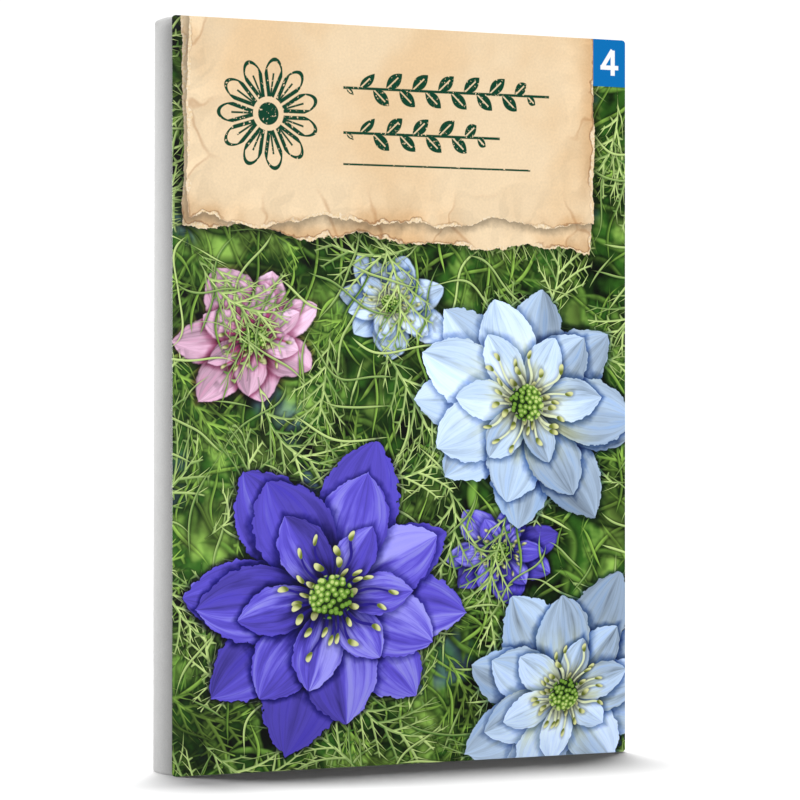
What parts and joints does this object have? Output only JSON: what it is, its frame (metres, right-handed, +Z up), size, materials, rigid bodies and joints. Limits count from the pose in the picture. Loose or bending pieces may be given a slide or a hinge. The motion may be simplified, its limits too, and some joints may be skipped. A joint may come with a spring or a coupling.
{
  "type": "seed packet",
  "caption": "Upright retail packet of flower seeds: flat printed front panel, white folded paper body with back flaps, and a sealed inner bag of loose seeds.",
  "frame": {"origin": "under the middle of the packet's width and depth, on the surface that it stands on", "axes": "+Z up along the packet's height; the printed front panel faces -Y; +X runs to the right of someone who faces the print"},
  "size_m": [0.115, 0.0138, 0.165],
  "materials": {
    "printed_card": "coated card, printed in full colour, satin",
    "white_paper": "uncoated white paper, matt",
    "bag_film": "milky glassine film, satin",
    "seed_coat": "dry black seed coat, matt and wrinkled"
  },
  "bodies": {
    "root": {"front_panel": "printed_card", "folded_body": "white_paper", "seed_bag_front_film": "bag_film", "seed_bag_back_film": "bag_film", "seeds": "seed_coat"}
  },
  "joints": []
}
